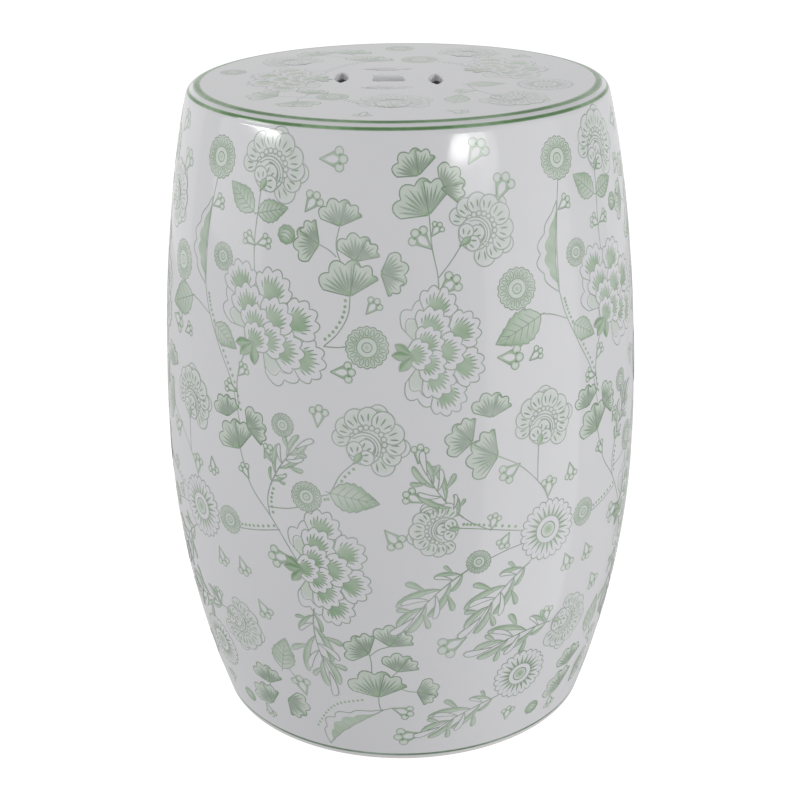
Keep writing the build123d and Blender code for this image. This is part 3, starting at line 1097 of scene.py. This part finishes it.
# Motifs of the barrel's sheet, each at degrees round and millimetres along, with a turn and a size. A leaf
# also has its length, and a frond its bend
BARREL_MOTIFS = {
    blossom: [(-35, 317, 42, 1.15), (2.4, 318, 86, 1.02), (-23.7, 165, 84, 1.06)],
    carnation: [
        (-34.1, 416, 27, 1), (14.1, 386, 56, 0.95), (-10.1, 247, 32, 1.02), (31.8, 248, 16, 0.95),
        (12.3, 199, -92, 0.82), (40, 107, 116, 0.92),
    ],
    daisy: [(35, 184, 0, 1.02), (31.4, 68, 0, 0.95)],
    rosette: [
        (41.5, 430, 0, 1.05), (-7.3, 323, 0, 1.05), (-45, 368, 0, 0.7), (27, 354, 0, 1.05),
        (-27, 266, 0, 0.62), (-21.5, 219, 0, 0.82), (-43.5, 186, 0, 0.78), (17.2, 172, 0, 0.66),
    ],
    bud: [(-26.5, 390, 20, 1), (39, 27, 10, 1)],
    fan_leaf: [
        (-18.3, 386, -80, 0.95), (-13.5, 398, -5, 0.95), (-9.8, 377, 8, 0.95), (-11, 355, -12, 1.3),
        (-4.2, 370, 92, 0.95), (4.6, 429, -25, 0.95), (6.8, 405, -28, 1.3), (9.6, 421, 62, 0.9),
        (-42.5, 262, -20, 0.85), (-39, 242, -30, 1.15), (-36.5, 258, 60, 0.9), (20, 273, -2, 0.95),
        (15.5, 258, -62, 1), (21.5, 246, -78, 1.2), (-8.4, 102, -54, 1), (-3.3, 109, 15, 0.98),
        (-6.6, 63, -8, 1.38), (-1.6, 87, 13, 0.9), (3.2, 68, 88, 0.85), (-38.9, 54, -13, 0.95),
        (-40.1, 33, -37, 1.05), (-33.6, 44, 112, 1),
    ],
    leaf: [
        (-36, 401, -52, 1, 26), (-34.6, 400.5, 75, 1, 23), (-15.9, 224, 100, 1, 33), (33, 334, -112, 1, 36),
        (-33, 74, 14, 1, 30), (43, 322, 120, 1, 24),
    ],
    frond: [
        (14.7, 167, -120, 1.05, -14), (30.2, 163, -122, 1.05, -14), (38.9, 107, -84, 1.02, -15),
        (25.5, 53, -104, 1, -13), (-21.2, 135, 192, 1.1, -20), (-30.5, 222, 22, 0.75, 12),
        (13.5, 206, -48, 0.85, 12),
    ],
    feather: [(38.8, 346, 3, 1), (-22.2, 9, 44, 1)],
    sprig: [
        (-19, 438, 88, 1.05), (-22, 405, 35, 0.9), (-34.6, 381, 70, 0.7), (-34.7, 380, -60, 0.7),
        (-7.5, 344, 40, 0.75), (-15.5, 306, 88, 0.95), (7.3, 384, -45, 1), (7.2, 392, 38, 0.6),
        (8.5, 356, 52, 1), (16.5, 434, 38, 1.05), (23, 410, 28, 1.1), (21.5, 312, 98, 1.1),
        (-18.5, 268, 5, 0.9), (-4, 200, 140, 1), (-25.5, 171, -95, 1.15), (-41.5, 160, 160, 0.9),
        (3.5, 246, 8, 0.8), (4.5, 219, -60, 0.85), (27, 238, -120, 1), (34.5, 208, 5, 0.9),
        (41, 228, 170, 0.8), (41, 160, 160, 0.9), (20, 194.5, 15, 0.7), (24.5, 190, -150, 0.75),
        (-36.5, 222, -30, 0.7), (-32, 240, 30, 0.7), (15.1, 113, -118, 1.28), (-26.8, 54, -12, 1.05),
        (-43.5, 29, 165, 0.8), (-3.3, 53, 114, 0.95), (5, 26.5, -100, 1.2), (29.6, 25, 6, 0.78),
        (37.5, 108, -8, 0.8), (-39.6, 281, -70, 0.7), (-39.3, 292, 40, 0.7), (40, 398, 62, 0.75),
        (29.5, 306, 60, 0.7), (-37, 130, 150, 0.95),
    ],
}
# Stems of the barrel's sheet: whether dots go beside it, and its points as degrees round, millimetres along
BARREL_STEMS = [
    (False, [(-34.1, 416), (-34.6, 402), (-35.2, 382), (-34.8, 360)]),
    (False, [(-17, 322), (-14, 322), (-11.8, 323)]),
    (True, [(-17, 322), (-13.8, 331), (-11.5, 343), (-11, 356)]),
    (False, [(-13.5, 399), (-14.3, 386), (-13, 374)]),
    (False, [(-18.3, 386), (-16, 383), (-14.2, 379)]),
    (False, [(6.8, 406), (7.3, 385), (8.5, 365), (8.2, 338)]),
    (False, [(14.1, 386), (11.5, 376), (8.5, 366)]),
    (False, [(41, 417), (39.8, 400), (38.8, 375), (38.8, 346)]),
    (True, [(38.8, 346), (40.5, 330), (44.5, 308), (49, 285), (51.4, 258)]),
    (False, [(28.5, 341), (31, 336), (36, 333), (41, 327)]),
    (False, [(-35.2, 315), (-38, 304), (-39.5, 288), (-39, 270)]),
    (True, [(-10.1, 247), (-13.5, 237), (-15.9, 224), (-18, 221)]),
    (False, [(-39, 243), (-36, 218), (-30.5, 198), (-24.5, 170)]),
    (True, [(-30.5, 223), (-31.4, 212), (-31, 200)]),
    (True, [(-40.3, 183), (-35, 186), (-28.5, 191)]),
    (False, [(-18, 218), (-25, 209), (-31.2, 206)]),
    (False, [(34.8, 206), (32.5, 219), (27, 236), (21.5, 246)]),
    (False, [(31.8, 249), (31.6, 236), (31.6, 223)]),
    (True, [(12.3, 199), (18, 196), (27.8, 189)]),
    (False, [(13.5, 206), (16, 200.5), (20, 194)]),
    (False, [(19.6, 173), (24, 177), (28, 179)]),
    (False, [(30.2, 163), (31, 166), (32, 169)]),
    (False, [(14.7, 167), (15.2, 168.5), (15.8, 169.5)]),
    (True, [(-21.2, 135), (-20.8, 143), (-20, 150)]),
    (False, [(-8.4, 102), (-8, 94), (-8, 84)]),
    (False, [(-3.3, 109), (-6, 106), (-8.3, 100)]),
    (False, [(-1.6, 87), (-2.6, 84), (-3.6, 80)]),
    (False, [(3.2, 68), (1, 69), (-0.6, 71)]),
    (False, [(-6.6, 63), (-6.6, 57), (-6, 51), (-3.3, 53)]),
    (False, [(-31, 76), (-29, 68), (-26.8, 54)]),
    (False, [(-38.9, 54), (-39, 48), (-38.6, 42)]),
    (False, [(25.5, 53), (26.5, 54.5), (27.5, 56.5)]),
    (False, [(-40.1, 33), (-42, 30), (-43.5, 29)]),
]
# A row of dots that no stem goes with, from the feather at the foot
LOOSE_DOTS = [(-26.5, 20), (-19, 50), (-9, 61)]

for motif, places in BARREL_MOTIFS.items():
    for degrees, along, turn, size, *shape in places:
        motif(on_barrel(degrees, along, turn, size), *shape)
for dotted, points in BARREL_STEMS:
    stem(barrel_sheet, [(degrees * DEGREE, along) for degrees, along in points], dotted)
dots(barrel_sheet, trail([(degrees * DEGREE, along) for degrees, along in LOOSE_DOTS]))

# Motifs and stems of the seat's sheet, in millimetres right and back from the axis, with turns and sizes
SEAT_MOTIFS = {
    blossom: [(-56, -2, -88, 1), (58, 26, 72, 1)],
    carnation: [(-4, -96, 4, 1), (-66, 52, -38, 0.9), (44, 78, 30, 0.9), (62, -62, 128, 0.95)],
    daisy: [(98, -28, 0, 0.85)],
    rosette: [(16, 66, 0, 1), (-114, 26, 0, 0.7), (-42, -62, 0, 0.8), (2, 112, 0, 0.8)],
    fan_leaf: [
        (-56, 86, -30, 1), (-34, 90, 8, 1), (-22, 60, 10, 1.25), (-78, -58, -70, 1.1), (-64, -74, 170, 1),
        (-58, -52, 20, 0.8),
    ],
    leaf: [(46, -26, 85, 1, 26), (36, -84, 10, 1, 26)],
    sprig: [(-20, -108, 190, 0.8), (30, -106, 120, 0.9), (52, -46, -100, 0.9), (97, 71, -58, 0.9)],
}
SEAT_STEMS = [
    (True, [(-56, -2), (-52, 16), (-38, 42), (-22, 60)]),
    (False, [(-56, 86), (-44, 82), (-24, 66)]),
    (False, [(-34, 90), (-30, 82), (-24, 66)]),
    (True, [(58, 26), (46, 46), (28, 61)]),
    (True, [(-4, -96), (-20, -86), (-34, -68)]),
    (False, [(-52, -64), (-62, -62), (-78, -58)]),
    (False, [(-61, -62), (-64, -67), (-64, -74)]),
    (False, [(-61, -62), (-59, -57), (-58, -52)]),
    (False, [(62, -62), (52, -46), (46, -26)]),
]
seat_sheet = {}
for motif, places in SEAT_MOTIFS.items():
    for right, back, turn, size, *shape in places:
        motif(Spot(seat_sheet, right, back, turn, size), *shape)
for dotted, points in SEAT_STEMS:
    stem(seat_sheet, points, dotted)


def printed_grids(patches, to_surface, strength, step):
    """Grids of one kind of print laid on the stool: all its patches are carried to the surface at once,
    each at the depth of its layer, with how much ink and which ink as their places on the palette."""
    shapes = [patch[0].shape for patch in patches]
    sizes = [patch[0].size for patch in patches]
    x, y, ink = [np.concatenate([patch[entry].reshape(-1) for patch in patches]) for entry in (0, 1, 2)]
    layer, place = [np.repeat([patch[entry] for patch in patches], sizes) for entry in (3, 4)]
    points, normals = to_surface(x, y, SKIN - step * (1 + layer))
    palette = palette_places(x, y, strength * ink, place)
    ends = np.cumsum(sizes)[:-1]
    pieces = zip(np.split(points, ends), np.split(normals, ends), np.split(palette, ends), shapes)
    return [(point.reshape(*shape, 3), facing.reshape(*shape, 3), tone.reshape(*shape, 2))
            for point, facing, tone, shape in pieces]


def quarter_on_barrel(quarter):
    """The way from the barrel's sheet to one quarter of the barrel: round the axis by the millimetres
    across, and up its outline by the millimetres along."""
    def to_surface(x, y, depth):
        radius, height, out, up = side_outline(np.clip(y, 0.0, SIDE_LENGTH), depth)
        angle = x / BELLY_RADIUS + (quarter / QUARTERS * 2 - 0.5) * np.pi
        return around(radius, angle, height), around(out, angle, up)
    return to_surface


def on_seat(x, y, depth):
    """The way from the seat's sheet to the seat: the same place at the seat's height, less the depth."""
    points = np.stack([x, y, STOOL_HEIGHT - depth], -1)
    return points, np.broadcast_to([0.0, 0.0, 1.0], points.shape).copy()


for kind, patches in barrel_sheet.items():
    grids = []
    for quarter in range(QUARTERS):
        grids += printed_grids(patches, quarter_on_barrel(quarter), BARREL_STRENGTH, INK_LAYER)
    add_piece(f"printed_{kind}", grids, PRINT)
seat_patches = [patch for patches in seat_sheet.values() for patch in patches]
seat_print = printed_grids(seat_patches, on_seat, SEAT_STRENGTH_WITH_PAINTED_SHEEN, SEAT_LAYER)
add_piece("printed_seat", seat_print, PRINT)

# Floor, studio light and camera
# A white floor and backdrop that light nothing themselves, a sky that is brightest near the horizon, and
# soft boxes and panels all round the stool: the boxes mirror as highlights in its shoulder, and the tall
# right panel as the bright side of the barrel. The camera has the photograph's place and angle.
CAMERA_REACH = 1.1016
CAMERA_HEIGHT = 0.6694
CAMERA_TARGET_HEIGHT = 0.2310
CAMERA_ROLL = math.radians(-0.64)
CAMERA_LENS = 72.96
PHOTO_SIDE = 800
PRINCIPAL_RIGHT = 1.0
PRINCIPAL_UP = 13.95
FLOOR_HALF = 12.0
FLOOR_CORNERS = [(-1, -1), (1, -1), (1, 1), (-1, 1)]
FLOOR_GREY = (0.2, 0.2, 0.2, 1.0)
FLOOR_GLOW = 0.95
WHITE = (1.0, 1.0, 1.0, 1.0)
SKY_SLOPE = 0.7
SKY_BELOW = 0.63
SKY_LEVEL = 0.645
SKY_ABOVE = 0.42
SHOULDER_MIDDLE = Vector((0.0, 0.0, 0.42))
# Each light: bearing from the front towards the right and elevation, in degrees at the shoulder's middle,
# then distance, width and height in metres, and power in watts. Panels are rectangles, the others ovals
SOFT_BOXES = [
    ("right_box", 30.8, 11.2, 1.84, 0.34, 0.115, 0.66),
    ("right_glow", 34.2, 10.9, 1.84, 0.64, 0.16, 1.05),
    ("right_fill", 36.5, 8.6, 1.84, 0.86, 0.34, 1.5),
    ("right_panel", 64.0, -9.0, 1.84, 1.70, 2.90, 10.8),
    ("right_wash_panel", 76.0, 27.0, 1.84, 1.70, 1.50, 2.6),
    ("left_box", -74.0, 10.1, 1.82, 0.86, 0.12, 4.2),
    ("left_top_box", -88.0, 33.0, 1.82, 0.80, 0.35, 3.5),
    ("left_panel", -84.0, 10.0, 1.82, 1.20, 1.20, 3.2),
    ("front_panel", 0.0, 31.0, 1.84, 2.60, 0.72, 3.3),
    ("rear_panel", 180.0, 31.0, 1.84, 2.60, 0.72, 6.2),
    ("back_panel", 180.0, 12.0, 1.84, 2.00, 0.60, 0.7),
    ("left_rear_panel", -140.0, 8.0, 1.84, 1.50, 1.60, 1.9),
    ("right_rear_panel", 140.0, 8.0, 1.84, 1.50, 1.60, 1.5),
]
# Panels that give light without being mirrored in the glaze
UNMIRRORED = ("right_wash_panel", "front_panel", "rear_panel")

floor_mesh = bpy.data.meshes.new("floor")
floor_corners = [(FLOOR_HALF * right, FLOOR_HALF * back, 0.0) for right, back in FLOOR_CORNERS]
floor_mesh.from_pydata(floor_corners, [], [(0, 1, 2, 3)])
floor = bpy.data.objects.new("floor", floor_mesh)
bpy.context.scene.collection.objects.link(floor)
floor_paint, floor_shader, _ = new_material("floor_paint")
set_node(floor_shader, {"Base Color": FLOOR_GREY, "Roughness": 0.9})
set_node(floor_shader, {"Emission Color": WHITE, "Emission Strength": FLOOR_GLOW})
floor_mesh.materials.append(floor_paint)
floor.visible_diffuse = False
floor.visible_glossy = False

world = bpy.data.worlds.new("studio")
bpy.context.scene.world = world
world.use_nodes = True
add_to_sky = node_adder(world.node_tree)
direction = add_to_sky("TexCoord").outputs["Generated"]
rise = add_to_sky("SeparateXYZ", {"Vector": direction}).outputs["Z"]
span = add_to_sky("MapRange", {"Value": rise, "From Min": -SKY_SLOPE, "From Max": SKY_SLOPE})
brightness = add_to_sky("ValToRGB", {"Fac": span.outputs["Result"]})
brightness.color_ramp.elements.new(0.5)
for stop, grey in zip(brightness.color_ramp.elements, (SKY_BELOW, SKY_LEVEL, SKY_ABOVE)):
    stop.color = (grey, grey, grey, 1.0)
in_camera = add_to_sky("LightPath").outputs["Is Camera Ray"]
backdrop = add_to_sky("Mix", {"A": brightness.outputs["Color"], "B": 1.0, "Factor": in_camera})
sky = world.node_tree.nodes["Background"]
set_node(sky, {"Color": WHITE, "Strength": backdrop.outputs["Result"]})
bpy.context.scene.view_settings.view_transform = "Standard"

for name, bearing, elevation, distance, width, height, power in SOFT_BOXES:
    light = bpy.data.lights.new(name, "AREA")
    light.shape = "RECTANGLE" if name.endswith("panel") else "ELLIPSE"
    light.size = width
    light.size_y = height
    light.energy = power
    box = bpy.data.objects.new(name, light)
    box.visible_glossy = name not in UNMIRRORED
    bpy.context.scene.collection.objects.link(box)
    level = math.cos(math.radians(elevation))
    toward = Vector((
        level * math.sin(math.radians(bearing)),
        -level * math.cos(math.radians(bearing)),
        math.sin(math.radians(elevation)),
    ))
    facing = toward.to_track_quat("Z", "Y").to_matrix().to_4x4()
    box.matrix_world = Matrix.Translation(SHOULDER_MIDDLE + distance * toward) @ facing

camera_data = bpy.data.cameras.new("camera")
camera_data.lens = CAMERA_LENS
camera_data.shift_x = -PRINCIPAL_RIGHT / PHOTO_SIDE
camera_data.shift_y = -PRINCIPAL_UP / PHOTO_SIDE
camera = bpy.data.objects.new("camera", camera_data)
bpy.context.scene.collection.objects.link(camera)
tilt = math.atan2(CAMERA_HEIGHT - CAMERA_TARGET_HEIGHT, CAMERA_REACH)
camera.matrix_world = (
    Matrix.Translation((0.0, -CAMERA_REACH, CAMERA_HEIGHT))
    @ Matrix.Rotation(math.pi / 2 - tilt, 4, "X")
    @ Matrix.Rotation(CAMERA_ROLL, 4, "Z")
)
bpy.context.scene.camera = camera
